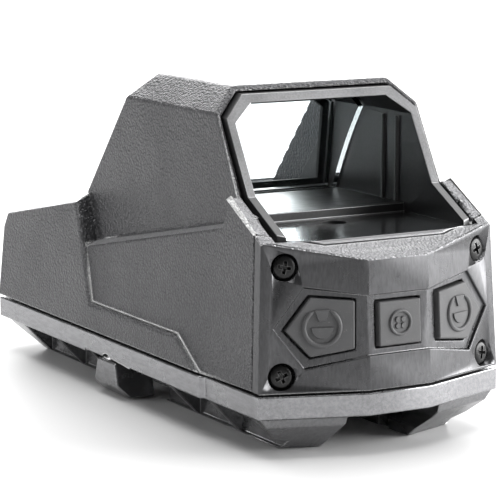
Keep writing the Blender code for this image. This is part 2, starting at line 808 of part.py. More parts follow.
def mount_base(mat):
    outline = plan(HALF_WIDTH, 0, BAND_HALF_WIDTH - HALF_WIDTH)
    plate = loft("mount_base", [level(outline, z) for z in (SEAT_Z, BASE_TOP)])
    lug = box("lug", (-9.5, 28.0, SEAT_Z - 2.6), (9.5, 32.8, SEAT_Z + 0.4))
    join(plate, clamp_under(), lug)
    cutters = [box("jaw_pocket", (-18.4, JAW_Y[0], -15), (-10, JAW_Y[1], POCKET_TOP))]
    cutters.append(box("lever_pocket", (-40, 56.2, -15), (-18.0, 79.2, POCKET_TOP)))
    cutters.append(turned("lever_dome", lever_dome(GAP), (LEVER_X, BAR_Y, 0), (0, 0, 1)))
    cutters.append(upright("pin_hole", LEVER_X, BAR_Y, 1.85, -9, -1.2, 24))
    half = BAR_HALF + GAP
    cutters.append(box("bar_way", (-20, BAR_Y - half, BAR_Z[0] - GAP), (22, BAR_Y + half, BAR_Z[1] + GAP)))
    cutters.append(across("head_way", BAR_Y, -6.6, 4.3, 17.8, 40))
    for x, y in base_screw_points():
        cutters.append(upright("sink", x, y, 2.9, -16, -2.9, 24))
        cutters.append(upright("way", x, y, SHAFT_R, -4, 2, 20))
    cut(plate, *cutters)
    groove = loft("groove", [level(plan(27.9, 2.2), z) for z in (BASE_TOP - 1.0, 2)])
    cut(groove, loft("core", [level(plan(26.3, 3.8), z) for z in (BASE_TOP - 2.0, 3)]))
    cut(plate, groove)
    return finish(plate, mat)


def seam_gasket(mat):
    low, high = BASE_TOP - 0.65, 0.03
    band = loft("seam_gasket", [level(plan(27.55, 2.55), z) for z in (low, high)])
    cut(band, loft("core", [level(plan(26.65, 3.45), z) for z in (low - 1, high + 1)]))
    return finish(band, mat)


def base_screw(name, point, mat):
    profile = [(-4.4, 2.3), (-4.2, 2.5), (-3.2, 2.5), (-3.2, 1.15), (5.6, 1.15), (6.0, 0.7)]
    screw = turned(name, profile, (*point, 0), (0, 0, 1), 24)
    cut(screw, turned("hex", [(-6, 1.3), (-3.6, 1.3)], (*point, 0), (0, 0, 1), 6))
    return finish(screw, mat, smooth=True)


def clamp_jaw(mat):
    """The moving jaw: a bar with the rail lip on its inner side."""
    top = POCKET_TOP - GAP
    outline = [(-15.4, top), (-11.2, top), (-11.2, -8.5), (-8.6, -11.0), (-8.6, -12.9), (-15.4, -12.9)]
    jaw = prism("clamp_jaw", outline, "Y", JAW_Y[0] + GAP, JAW_Y[1] - GAP)
    half = BAR_HALF + GAP
    cut(jaw, box("bar_slot", (-20, BAR_Y - half, BAR_Z[0] - GAP), (0, BAR_Y + half, 0)))
    cut(jaw, upright("dowel_hole", -13.2, BAR_Y, 1.4, -14, 0, 20))
    return finish(jaw, mat, origin=(-11.2, BAR_Y, -8.5))


def cross_bar(mat):
    bar = box("cross_bar", (-15.2, BAR_Y - BAR_HALF, BAR_Z[0]), (20.4, BAR_Y + BAR_HALF, BAR_Z[1]))
    cut(bar, across("bore", BAR_Y, -5.7, 1.35, 13.6, 24, 20))
    cut(bar, upright("dowel_hole", -13.2, BAR_Y, 1.4, -14, 0, 20))
    return finish(bar, mat, origin=(0, BAR_Y, -5.7))


def bar_screw(mat):
    screw = across("bar_screw", BAR_Y, -5.7, 1.0, 14.2, 20.8, 20)
    head = turned("head", [(20.75, 3.2), (23.0, 3.2), (23.4, 2.9)], (0, BAR_Y, -6.6), (1, 0, 0), 6)
    join(screw, head)
    return finish(screw, mat, origin=(20.8, BAR_Y, -5.7))


def jaw_dowel(mat):
    return finish(upright("jaw_dowel", -13.2, BAR_Y, 1.05, -12.7, -4.1, 20), mat, smooth=True)


def lever_dome(extra):
    """The lever's domed boss around its pin, grown by extra for the notch that it sits in."""
    profile = ((-7.0, 4.25), (-4.6, 4.25), (-3.5, 3.55), (-3.0, 2.75), (-2.8, 2.1))
    return [(along + extra, radius + extra) for along, radius in profile]


def clamp_lever(mat):
    """The throw lever: a thumb tab and cam that turn about an upright pin."""
    outline = [(-31.0, 58.4), (-31.0, 76.9), (-28.6, 76.6), (-21.8, 70.5), (-21.8, 59.8), (-23.2, 58.4)]
    lever = prism("clamp_lever", outline, "Z", -13.0, POCKET_TOP - GAP)
    wedges = [
        trimmed("tip", (-34, 50, -20), (-15, 90, 0), [((0, 60.6, -13.0), (0, 1, -0.28))]),
        trimmed("toe", (-34, 50, -20), (-15, 90, 0), [((0, 74.6, -13.0), (0, -1, -0.34))]),
        trimmed("heel", (-34, 50, -20), (-15, 90, 0), [((-28.2, 0, -13.0), (1, 0, 1))]),
    ]
    cut(lever, *wedges)
    join(lever, turned("boss", lever_dome(0), (LEVER_X, BAR_Y, 0), (0, 0, 1)))
    cut(lever, upright("hole", LEVER_X, BAR_Y, 1.85, -20, 0, 24))
    return finish(lever, mat, origin=(LEVER_X, BAR_Y, -9.0))


def lever_pin(mat):
    pin = turned("lever_pin", [(-13.1, 1.2), (-12.8, 1.5), (-1.6, 1.5)], (LEVER_X, BAR_Y, 0), (0, 0, 1), 24)
    return finish(pin, mat, smooth=True)


def main():
    clear_scene()
    coat = material("shell_coat", (0.09, 0.09, 0.095), 0.55)
    satin = material("housing_satin", (0.12, 0.12, 0.125), 0.4)
    panel = material("panel_satin", (0.11, 0.11, 0.115), 0.38)
    rubber = material("key_rubber", (0.13, 0.13, 0.13), 0.65)
    black_screw = material("screw_black", (0.03, 0.03, 0.03), 0.35, 0.8)
    base_metal = material("base_aluminium", (0.32, 0.32, 0.33), 0.42, 0.7)
    steel = material("steel", (0.35, 0.35, 0.36), 0.35, 1.0)
    brass = material("brass", (0.6, 0.45, 0.2), 0.4, 1.0)
    board_green = material("board", (0.02, 0.12, 0.06), 0.5)
    seal = material("seal_rubber", (0.02, 0.02, 0.02), 0.8)
    glass = material("coated_glass", (0.75, 0.85, 0.88), 0.03, 0.0, 1.0)
    wrap = material("battery_wrap", (0.1, 0.12, 0.16), 0.4)

    outer_shell(coat)
    optics_housing(satin)
    reflector_lens(glass)
    front_window(glass)
    window_retainer(seal)
    emitter_window(glass)
    rear_end_cap(panel)
    for i, (side, point) in enumerate(each_panel_screw()):
        panel_screw(f"panel_screw_{i + 1}", side, point, black_screw)
    for word, side in (("left", -1), ("middle", 0), ("right", 1)):
        button(f"button_{word}", side, rubber)
        key_switch(f"switch_{word}", side, brass)
    keypad_membrane(seal)
    control_board(board_green)
    emitter_carriage(brass)
    emitter_module(steel)
    adjuster_dial("windage_dial", WINDAGE_Z, 12.6, steel)
    adjuster_dial("elevation_dial", ELEVATION_Z, -8.0, steel)
    battery_cell(wrap)
    contact_spring(brass)
    contact_plate(brass)
    battery_cap(satin)
    cap_seal(seal)
    mount_base(base_metal)
    seam_gasket(seal)
    for i, point in enumerate(base_screw_points()):
        base_screw(f"base_screw_{i + 1}", point, black_screw)
    clamp_jaw(base_metal)
    cross_bar(steel)
    bar_screw(black_screw)
    jaw_dowel(steel)
    clamp_lever(base_metal)
    lever_pin(steel)


main()
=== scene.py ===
"""Looks of a hooded red dot sight.

A cast shell round a sight housing, a rear panel with three keys, two adjusters and a battery cap on the
right side, and a rail clamp with a throw lever under the base.
"""

from math import cos, pi, radians, sin

import bmesh
import bpy
from mathutils import Matrix, Vector


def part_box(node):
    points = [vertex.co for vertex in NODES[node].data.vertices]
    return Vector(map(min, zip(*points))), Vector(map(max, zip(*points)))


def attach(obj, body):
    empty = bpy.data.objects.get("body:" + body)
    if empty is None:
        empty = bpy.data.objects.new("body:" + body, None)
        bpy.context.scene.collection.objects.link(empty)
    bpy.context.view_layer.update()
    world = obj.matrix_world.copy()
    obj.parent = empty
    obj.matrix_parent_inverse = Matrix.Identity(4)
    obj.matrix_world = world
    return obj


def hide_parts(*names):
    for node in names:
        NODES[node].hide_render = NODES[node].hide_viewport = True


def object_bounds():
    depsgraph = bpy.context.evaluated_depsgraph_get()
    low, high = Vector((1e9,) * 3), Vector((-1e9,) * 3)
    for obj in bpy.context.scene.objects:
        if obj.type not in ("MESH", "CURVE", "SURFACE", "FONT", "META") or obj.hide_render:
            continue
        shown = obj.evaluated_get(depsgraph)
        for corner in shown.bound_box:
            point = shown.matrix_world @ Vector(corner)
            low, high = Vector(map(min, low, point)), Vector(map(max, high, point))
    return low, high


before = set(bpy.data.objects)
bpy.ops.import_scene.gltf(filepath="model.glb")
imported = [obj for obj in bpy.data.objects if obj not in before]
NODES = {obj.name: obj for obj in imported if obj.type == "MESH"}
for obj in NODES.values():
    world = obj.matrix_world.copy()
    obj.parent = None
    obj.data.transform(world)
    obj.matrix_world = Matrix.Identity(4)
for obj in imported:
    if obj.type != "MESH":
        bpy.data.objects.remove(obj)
cad_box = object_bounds()
MM = 0.001

DOUBLES = 0.002 * MM
FLAT_WITHIN = radians(0.6)
ROUNDED_ABOVE = radians(24)
MOST_CORNERS = 4

# A face's normal has at least this much of an axis when the face is called level, sloped or rear.
LEVEL = 0.8
SLOPED = 0.35
BROW_SLOPE = 0.3
REAR_LEAN = 0.5
RIM_TILT = 0.1
KEY_FACET = 0.8

# ---------------------------------------------------------------- mesh helpers


def linked(name, bm):
    """Make a linked object of a bmesh, and free the bmesh."""
    mesh = bpy.data.meshes.new(name)
    bm.to_mesh(mesh)
    bm.free()
    obj = bpy.data.objects.new(name, mesh)
    bpy.context.scene.collection.objects.link(obj)
    return obj


def baked(obj):
    """Replace the object's mesh by what its modifiers make of it."""
    graph = bpy.context.evaluated_depsgraph_get()
    mesh = bpy.data.meshes.new_from_object(obj.evaluated_get(graph))
    obj.modifiers.clear()
    obj.data = mesh
    return obj


def clean_faces(node, merge=DOUBLES):
    """A CAD node's faces with doubles merged and each flat stretch made one face."""
    bm = bmesh.new()
    bm.from_mesh(NODES[node].data)
    bmesh.ops.remove_doubles(bm, verts=bm.verts, dist=merge)
    bmesh.ops.dissolve_limit(bm, angle_limit=FLAT_WITHIN, verts=bm.verts, edges=bm.edges)
    return bm


def copy_of(node, name, merge=DOUBLES):
    """A clean copy of a CAD node, as a piece of its own."""
    return linked(name, clean_faces(node, merge))


def soften(obj, width, segments=3, shortest=0.0, least_area=0.0):
    """Round the piece's edges by a small real radius, leaving short edges and slivers as they are."""
    bm = bmesh.new()
    bm.from_mesh(obj.data)
    weight = bm.edges.layers.float.new("bevel_weight_edge")
    for edge in bm.edges:
        broad = all(face.calc_area() > least_area for face in edge.link_faces)
        if len(edge.link_faces) == 2 and broad and edge.calc_length() > shortest:
            edge[weight] = 1.0 if edge.calc_face_angle(0.0) > ROUNDED_ABOVE else 0.0
    bmesh.ops.triangulate(bm, faces=[face for face in bm.faces if len(face.verts) > MOST_CORNERS])
    bm.to_mesh(obj.data)
    bm.free()
    bevel = obj.modifiers.new("rounding", "BEVEL")
    bevel.limit_method = "WEIGHT"
    bevel.width = width
    bevel.segments = segments
    bevel.use_clamp_overlap = False
    bevel.miter_outer = "MITER_SHARP"
    return shaded(baked(obj))


def shaded(obj, angle=28):
    """Shade smooth up to an angle in degrees, with the broad faces leading the normals."""
    obj.data.shade_smooth()
    obj.data.set_sharp_from_angle(angle=radians(angle))
    weighted = obj.modifiers.new("normals", "WEIGHTED_NORMAL")
    weighted.keep_sharp = True
    return baked(obj)


def solid(name, rings, closed_ends=True):
    """A skin through rings of points, in metres."""
    bm = bmesh.new()
    loops = [[bm.verts.new(point) for point in ring] for ring in rings]
    count = len(rings[0])
    for first, second in zip(loops, loops[1:]):
        for i in range(count):
            j = (i + 1) % count
            bm.faces.new((first[i], first[j], second[j], second[i]))
    if closed_ends:
        bm.faces.new(list(reversed(loops[0])))
        bm.faces.new(loops[-1])
    bmesh.ops.recalc_face_normals(bm, faces=bm.faces)
    return linked(name, bm)


def merge_into(target, others):
    """Join the other meshes into the target, as separate shells of one piece."""
    bm = bmesh.new()
    bm.from_mesh(target.data)
    for other in others:
        bm.from_mesh(other.data)
        bpy.data.objects.remove(other, do_unlink=True)
    bm.to_mesh(target.data)
    bm.free()


def paint(piece, finish):
    """Give the whole piece one finish."""
    piece.data.materials.clear()
    piece.data.materials.append(finish)


def paint_faces(piece, finishes, choose):
    """Give each face one of the named finishes, as choose(centre, normal) says."""
    piece.data.materials.clear()
    order = list(finishes)
    for key in order:
        piece.data.materials.append(finishes[key])
    for face in piece.data.polygons:
        face.material_index = order.index(choose(Vector(face.center), Vector(face.normal)))


def fit(piece, body, slot, *nodes):
    """Put a finished piece on its body, in the place of its CAD nodes. The slot is not used."""
    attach(piece, body)
    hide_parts(*nodes)


# ---------------------------------------------------------------- shader helpers

# The Mix node's colour sockets, which share their names with its float and vector ones.
MIX_COLOURS_IN = (6, 7)
MIX_COLOUR_OUT = 2


def add(tree, kind, **settings):
    node = tree.nodes.new(kind)
    for key, value in settings.items():
        setattr(node, key, value)
    return node


def feed(tree, value, socket):
    """Set an input to a number, or link it to another node's output."""
    if isinstance(value, (int, float)):
        socket.default_value = value
    else:
        tree.links.new(value, socket)


def calc(tree, operation, first, second):
    node = add(tree, "ShaderNodeMath", operation=operation)
    feed(tree, first, node.inputs[0])
    feed(tree, second, node.inputs[1])
    return node.outputs[0]


def ramp(tree, value, low, high):
    """0 at low, 1 at high, with a soft step between them."""
    node = add(tree, "ShaderNodeMapRange", interpolation_type="SMOOTHSTEP")
    tree.links.new(value, node.inputs["Value"])
    node.inputs["From Min"].default_value = low
    node.inputs["From Max"].default_value = high
    return node.outputs["Result"]


def between(tree, share, low, high):
    """A share from 0 to 1 spread from low to high."""
    node = add(tree, "ShaderNodeMapRange")
    tree.links.new(share, node.inputs["Value"])
    node.inputs["To Min"].default_value = low
    node.inputs["To Max"].default_value = high
    return node.outputs["Result"]


def noise(tree, place, scale, detail=3.0, roughness=0.55):
    node = add(tree, "ShaderNodeTexNoise")
    tree.links.new(place, node.inputs["Vector"])
    feed(tree, scale, node.inputs["Scale"])
    node.inputs["Detail"].default_value = detail
    node.inputs["Roughness"].default_value = roughness
    return node.outputs["Fac"]


def mix(tree, share, first, second):
    """Mix two colours, each a tuple or another node's output."""
    node = add(tree, "ShaderNodeMix", data_type="RGBA")
    tree.links.new(share, node.inputs["Factor"])
    for index, value in zip(MIX_COLOURS_IN, (first, second)):
        if isinstance(value, tuple):
            node.inputs[index].default_value = (*value, 1.0)
        else:
            tree.links.new(value, node.inputs[index])
    return node.outputs[MIX_COLOUR_OUT]


def lifted(colour, gain):
    return tuple(part * gain for part in colour)


def bumped(tree, shader, height, strength, distance):
    bump = add(tree, "ShaderNodeBump")
    bump.inputs["Strength"].default_value = strength
    bump.inputs["Distance"].default_value = distance
    tree.links.new(height, bump.inputs["Height"])
    tree.links.new(bump.outputs["Normal"], shader.inputs["Normal"])


def new_material(name, metallic=0.0, coat=0.0):
    mat = bpy.data.materials.new(name)
    mat.use_nodes = True
    shader = mat.node_tree.nodes["Principled BSDF"]
    shader.inputs["Metallic"].default_value = metallic
    shader.inputs["Coat Weight"].default_value = coat
    return mat, mat.node_tree, shader


# ---------------------------------------------------------------- shader groups


def group(name, inputs, outputs):
    tree = bpy.data.node_groups.new(name, "ShaderNodeTree")
    for label, kind, value in inputs:
        socket = tree.interface.new_socket(name=label, in_out="INPUT", socket_type=kind)
        socket.default_value = value
    for label in outputs:
        tree.interface.new_socket(name=label, in_out="OUTPUT", socket_type="NodeSocketFloat")
    return tree, tree.nodes.new("NodeGroupInput"), tree.nodes.new("NodeGroupOutput")


def edge_wear_and_highlight_group():
    """Edge wear and painted edge highlights: 1 where a surface bends within the given radius, broken up by
    noise.
    """
    tree, given, result = group(
        "edge_wear_and_highlight",
        [("Radius", "NodeSocketFloat", 0.0004), ("Breakup Scale", "NodeSocketFloat", 900.0)],
        ["Mask"],
    )
    straight, bent = 0.995, 0.86
    noise_share = 0.7
    edge_mark_begins, edge_mark_full = 0.75, 1.25
    place = add(tree, "ShaderNodeTexCoord").outputs["Object"]
    bevel = add(tree, "ShaderNodeBevel", samples=6)
    tree.links.new(given.outputs["Radius"], bevel.inputs["Radius"])
    flat = add(tree, "ShaderNodeNewGeometry").outputs["Normal"]
    bend = add(tree, "ShaderNodeVectorMath", operation="DOT_PRODUCT")
    tree.links.new(bevel.outputs["Normal"], bend.inputs[0])
    tree.links.new(flat, bend.inputs[1])
    edge = ramp(tree, bend.outputs["Value"], straight, bent)
    spots = noise(tree, place, given.outputs["Breakup Scale"], 4.0)
    broken = calc(tree, "ADD", edge, calc(tree, "MULTIPLY", spots, noise_share))
    tree.links.new(ramp(tree, broken, edge_mark_begins, edge_mark_full), result.inputs["Mask"])
    return tree


def cast_grain_group():
    """Pebbled grain of a textured coat: rounded bumps of mixed size, as a height and a mask of the bump tops
    for painted glints.
    """
    tree, given, result = group(
        "cast_grain",
        [("Scale", "NodeSocketFloat", 1500.0), ("Softness", "NodeSocketFloat", 0.5)],
        ["Height", "Glint"],
    )
    warp_scale, warp_reach = 1500.0, 0.2 * MM
    fine_ratio, fine_share = 1.6, 0.6
    glint_begins, glint_full = 0.85, 1.25
    place = add(tree, "ShaderNodeTexCoord").outputs["Object"]
    warp = add(tree, "ShaderNodeTexNoise")
    warp.inputs["Scale"].default_value = warp_scale
    tree.links.new(place, warp.inputs["Vector"])
    push = add(tree, "ShaderNodeVectorMath", operation="MULTIPLY_ADD")
    tree.links.new(warp.outputs["Color"], push.inputs[0])
    push.inputs[1].default_value = (warp_reach, warp_reach, warp_reach)
    tree.links.new(place, push.inputs[2])
    cells = add(tree, "ShaderNodeTexVoronoi", feature="SMOOTH_F1")
    tree.links.new(push.outputs[0], cells.inputs["Vector"])
    tree.links.new(given.outputs["Scale"], cells.inputs["Scale"])
    tree.links.new(given.outputs["Softness"], cells.inputs["Smoothness"])
    pebble = calc(tree, "SUBTRACT", 1.0, cells.outputs["Distance"])
    fine = noise(tree, place, calc(tree, "MULTIPLY", given.outputs["Scale"], fine_ratio))
    height = calc(tree, "ADD", pebble, calc(tree, "MULTIPLY", fine, fine_share))
    tree.links.new(height, result.inputs["Height"])
    tree.links.new(ramp(tree, height, glint_begins, glint_full), result.inputs["Glint"])
    return tree


def handling_group():
    """Slow variation from handling: faint smudges, and fine dust, each from 0 to 1."""
    tree, given, result = group("handling", [("Scale", "NodeSocketFloat", 60.0)], ["Smudge", "Dust"])
    smudge_begins, smudge_full = 0.35, 0.7
    dust_scale, dust_begins, dust_full = 2600.0, 0.66, 0.74
    place = add(tree, "ShaderNodeTexCoord").outputs["Object"]
    smudge = noise(tree, place, given.outputs["Scale"], 5.0, 0.62)
    tree.links.new(ramp(tree, smudge, smudge_begins, smudge_full), result.inputs["Smudge"])
    specks = noise(tree, place, dust_scale, 2.0)
    tree.links.new(ramp(tree, specks, dust_begins, dust_full), result.inputs["Dust"])
    return tree


def machined_group():
    """Fine machining lines, drawn out along the axes with the least stretch, as a height and a tone."""
    tree, given, result = group(
        "machined",
        [("Stretch", "NodeSocketVector", (1.0, 1.0, 1.0)), ("Scale", "NodeSocketFloat", 900.0)],
        ["Height", "Tone"],
    )
    tone_begins, tone_full = 0.3, 0.7
    place = add(tree, "ShaderNodeTexCoord").outputs["Object"]
    stretch = add(tree, "ShaderNodeVectorMath", operation="MULTIPLY")
    tree.links.new(place, stretch.inputs[0])
    tree.links.new(given.outputs["Stretch"], stretch.inputs[1])
    lines = noise(tree, stretch.outputs[0], given.outputs["Scale"], 4.0, 0.6)
    tree.links.new(lines, result.inputs["Height"])
    tree.links.new(ramp(tree, lines, tone_begins, tone_full), result.inputs["Tone"])
    return tree


EDGE_WEAR_AND_HIGHLIGHT = edge_wear_and_highlight_group()
CAST_GRAIN = cast_grain_group()
HANDLING = handling_group()
MACHINED = machined_group()


def use(tree, shared, **values):
    """Place a shared group in a material, with its inputs set."""
    node = add(tree, "ShaderNodeGroup", node_tree=shared)
    for key, value in values.items():
        node.inputs[key].default_value = value
    return node.outputs


# ---------------------------------------------------------------- finishes


def coat_finish(name, base, wear_and_highlight, grain, strength, rough, metallic):
    """Pebbled black coat over metal, with painted glints on its grain's bumps, and paler edges for wear and
    a painted highlight.
    """
    glint_gain, wear_and_highlight_share, grain_depth = 1.9, 0.85, 0.26 * MM
    mat, tree, shader = new_material(name, metallic)
    pebbles = use(tree, CAST_GRAIN, Scale=grain, Softness=0.35)
    hands = use(tree, HANDLING, Scale=55.0)
    edges = use(tree, EDGE_WEAR_AND_HIGHLIGHT, Radius=0.8 * MM)
    # Painted highlight: the tops of the grain's bumps are painted paler as glints.
    tone = mix(tree, pebbles["Glint"], base, lifted(base, glint_gain))
    # Edges turn paler: partly wear, partly a painted highlight.
    tone = mix(tree, calc(tree, "MULTIPLY", edges["Mask"], wear_and_highlight_share), tone, wear_and_highlight)
    tree.links.new(tone, shader.inputs["Base Color"])
    tree.links.new(between(tree, hands["Smudge"], *rough), shader.inputs["Roughness"])
    bumped(tree, shader, pebbles["Height"], strength, grain_depth)
    return mat


def satin_finish(name, base, wear_and_highlight, rough, metallic, scale, strength, stretch=(1, 1, 1)):
    """Anodised metal with a fine machined grain, paler on its edges for wear and a painted highlight."""
    dark_line, bright_line = 0.86, 1.14
    wear_and_highlight_share, line_depth = 0.6, 0.08 * MM
    mat, tree, shader = new_material(name, metallic)
    lines = use(tree, MACHINED, Stretch=stretch, Scale=scale)
    hands = use(tree, HANDLING, Scale=70.0)
    edges = use(tree, EDGE_WEAR_AND_HIGHLIGHT, Radius=0.35 * MM)
    tone = mix(tree, lines["Tone"], lifted(base, dark_line), lifted(base, bright_line))
    # Edges turn paler: partly wear, partly a painted highlight.
    tone = mix(tree, calc(tree, "MULTIPLY", edges["Mask"], wear_and_highlight_share), tone, wear_and_highlight)
    tree.links.new(tone, shader.inputs["Base Color"])
    tree.links.new(between(tree, hands["Smudge"], *rough), shader.inputs["Roughness"])
    bumped(tree, shader, lines["Height"], strength, line_depth)
    return mat


def rubber_finish(name, base, rough=(0.5, 0.66)):
    """Moulded silicone: a very fine even texture with a few specks of dust."""
    smudge_gain, dust_share, dust = 1.25, 0.25, (0.35, 0.35, 0.34)
    strength, grain_depth = 0.25, 0.05 * MM
    mat, tree, shader = new_material(name)
    grain = use(tree, CAST_GRAIN, Scale=4200.0, Softness=0.6)
    hands = use(tree, HANDLING, Scale=120.0)
    tone = mix(tree, hands["Smudge"], base, lifted(base, smudge_gain))
    tone = mix(tree, calc(tree, "MULTIPLY", hands["Dust"], dust_share), tone, dust)
    tree.links.new(tone, shader.inputs["Base Color"])
    tree.links.new(between(tree, hands["Smudge"], *rough), shader.inputs["Roughness"])
    bumped(tree, shader, grain["Height"], strength, grain_depth)
    return mat


def glass_finish(name, tint, coating):
    """Coated optical glass: clear, with a faint tint from its coating and a few specks of dust."""
    mat, tree, shader = new_material(name, coat=0.3)
    shader.inputs["Transmission Weight"].default_value = 1.0
    shader.inputs["IOR"].default_value = 1.15
    hands = use(tree, HANDLING, Scale=40.0)
    tree.links.new(mix(tree, hands["Smudge"], tint, coating), shader.inputs["Base Color"])
    tree.links.new(between(tree, hands["Dust"], 0.0, 0.08), shader.inputs["Roughness"])
    return mat


def board_finish():
    """Green solder mask with lighter copper tracks under it."""
    mask, copper = (0.012, 0.09, 0.045), (0.05, 0.22, 0.09)
    track_begins, track_full = 0.10, 0.04
    strength, track_depth = 0.3, 0.04 * MM
    mat, tree, shader = new_material("board_mask", coat=0.4)
    place = add(tree, "ShaderNodeTexCoord").outputs["Object"]
    cells = add(tree, "ShaderNodeTexVoronoi", feature="DISTANCE_TO_EDGE")
    tree.links.new(place, cells.inputs["Vector"])
    cells.inputs["Scale"].default_value = 420.0
    tracks = ramp(tree, cells.outputs["Distance"], track_begins, track_full)
    tree.links.new(mix(tree, tracks, mask, copper), shader.inputs["Base Color"])
    hands = use(tree, HANDLING, Scale=90.0)
    tree.links.new(between(tree, hands["Smudge"], 0.25, 0.4), shader.inputs["Roughness"])
    bumped(tree, shader, tracks, strength, track_depth)
    return mat


COAT = coat_finish(
    "shell_coat", base=(0.055, 0.055, 0.058), wear_and_highlight=(0.62, 0.62, 0.62),
    grain=1700.0, strength=1.0, rough=(0.3, 0.42), metallic=0.35,
)
# A paler copy of the coat for faces that look upwards: painted light from above.
LIT_COAT = coat_finish(
    "coat_painted_lit", base=(0.2, 0.2, 0.206), wear_and_highlight=(0.6, 0.6, 0.6),
    grain=1700.0, strength=1.0, rough=(0.28, 0.4), metallic=0.5,
)
PANEL = satin_finish(
    "panel_satin", base=(0.085, 0.085, 0.088), wear_and_highlight=(0.8, 0.8, 0.8),
    rough=(0.24, 0.36), metallic=0.8, scale=2200.0, strength=0.12, stretch=(1, 1, 0.25),
)
RIM = satin_finish(
    "rim_satin", base=(0.27, 0.27, 0.275), wear_and_highlight=(0.7, 0.7, 0.7),
    rough=(0.36, 0.48), metallic=0.7, scale=2600.0, strength=0.3,
)
INTERIOR = satin_finish(
    "interior_black", base=(0.03, 0.03, 0.031), wear_and_highlight=(0.2, 0.2, 0.2),
    rough=(0.32, 0.45), metallic=0.2, scale=1800.0, strength=0.05,
)
FLOOR_GLOSS = satin_finish(
    "floor_gloss", base=(0.05, 0.05, 0.052), wear_and_highlight=(0.5, 0.5, 0.5),
    rough=(0.14, 0.24), metallic=0.8, scale=1500.0, strength=0.03, stretch=(0.2, 1, 1),
)
KEYS = rubber_finish("key_rubber", base=(0.07, 0.07, 0.072))
SEAL = rubber_finish("seal_rubber", base=(0.015, 0.015, 0.015), rough=(0.6, 0.8))
BASE = satin_finish(
    "base_aluminium", base=(0.27, 0.27, 0.278), wear_and_highlight=(0.7, 0.7, 0.7),
    rough=(0.2, 0.32), metallic=0.85, scale=1500.0, strength=0.14, stretch=(1, 0.2, 1),
)
CLAMP_METAL = satin_finish(
    "clamp_metal", base=(0.2, 0.2, 0.205), wear_and_highlight=(0.7, 0.7, 0.7),
    rough=(0.2, 0.34), metallic=0.85, scale=1500.0, strength=0.1, stretch=(1, 0.2, 1),
)
SCREW = satin_finish(
    "screw_black", base=(0.03, 0.03, 0.03), wear_and_highlight=(0.25, 0.25, 0.25),
    rough=(0.22, 0.36), metallic=0.9, scale=2600.0, strength=0.1,
)
STEEL = satin_finish(
    "steel", base=(0.4, 0.4, 0.41), wear_and_highlight=(0.8, 0.8, 0.8),
    rough=(0.2, 0.34), metallic=1.0, scale=2400.0, strength=0.1, stretch=(1, 1, 0.2),
)
BRASS = satin_finish(
    "brass", base=(0.62, 0.44, 0.18), wear_and_highlight=(0.85, 0.7, 0.4),
    rough=(0.2, 0.34), metallic=1.0, scale=2400.0, strength=0.08, stretch=(1, 1, 0.3),
)
WRAP = rubber_finish("battery_wrap", base=(0.05, 0.07, 0.11), rough=(0.22, 0.32))
GLASS = glass_finish("coated_glass", tint=(0.97, 0.99, 1.0), coating=(0.9, 0.97, 0.98))
BOARD = board_finish()

# ---------------------------------------------------------------- shell, housing and rear panel


def shell():
    """The cast shell; its upward faces on the cheeks behind the hood and on the ledges under it get a paler
    coat, painted as if lit from above.
    """
    piece = copy_of("outer_shell", "shell_casting", merge=0.03 * MM)
    soften(piece, 0.65 * MM, shortest=2.4 * MM, least_area=0.3 * MM**2)
    cheeks_end, cheeks_top = -40 * MM, 48 * MM
    ledge_low, ledge_top, ledge_from_middle = 20 * MM, 45 * MM, 20 * MM

    def choose(centre, normal):
        cheek = normal.z > SLOPED and centre.y < cheeks_end and centre.z < cheeks_top
        ledge = normal.z > LEVEL and ledge_low < centre.z < ledge_top and abs(centre.x) > ledge_from_middle
        # Upward faces get the paler coat, as painted light from above.
        return "cheek" if cheek or ledge else "coat"

    paint_faces(piece, {"coat": COAT, "cheek": LIT_COAT}, choose)
    fit(piece, "body", "shell_coat", "outer_shell")


def housing():
    """The sight housing: a satin rim, a glossy floor and a black inside."""
    piece = copy_of("optics_housing", "sight_housing", merge=0.02 * MM)
    soften(piece, 0.22 * MM, segments=2, shortest=1.2 * MM)
    rim_end, floor_end, floor_top = -18 * MM, -34 * MM, 37.5 * MM

    def choose(centre, normal):
        if normal.y < -REAR_LEAN and centre.y < rim_end and normal.z > RIM_TILT:
            return "rim"
        if normal.z > LEVEL and centre.y < floor_end and centre.z < floor_top:
            return "floor"
        return "inside"

    paint_faces(piece, {"rim": RIM, "floor": FLOOR_GLOSS, "inside": INTERIOR}, choose)
    fit(piece, "body", "housing_satin", "optics_housing")


def rear_panel():
    """The faceted panel round the keys, with a paler copy of the shell's coat on its sloping brow, painted
    as if lit from above.
    """
    piece = copy_of("rear_end_cap", "rear_panel", merge=0.02 * MM)
    soften(piece, 0.3 * MM, shortest=1.0 * MM)
    brow_low = 25.5 * MM

    def choose(centre, normal):
        # Upward faces of the brow get the paler coat, as painted light from above.
        return "coat" if normal.z > BROW_SLOPE and centre.z > brow_low else "panel"

    paint_faces(piece, {"panel": PANEL, "coat": LIT_COAT}, choose)
    fit(piece, "body", "panel_satin", "rear_end_cap")


shell()
housing()
rear_panel()

# ---------------------------------------------------------------- keypad, in millimetres on each key's facet

RING_RADIUS, RING_WIDTH = 3.75, 0.95
RING_FROM, RING_TO = 118, 422
COLLAR_RADIUS, COLLAR_WIDTH = 2.45, 0.7
BEAD_HEIGHT, BEAD_SINK = 0.42, 0.25
BEAD_TAPER = 0.35
DISC_RADIUS = 2.3
WEDGE = [(-1.55, 3.6), (-0.75, 1.3), (0.75, 1.3), (1.55, 3.6)]
FIGURE_HEIGHT, LOBE_HEIGHT = 0.28, 0.3
FIGURE_SINK, FIGURE_INSET = 0.3, 0.09
SHOULDER_SHARE = 0.55
LOBE_RADIUS, LOBE_FROM_MIDDLE, LOBE_CORNERS = 0.62, 0.95, 16
SIDE_FIGURE_SHIFT = 0.3


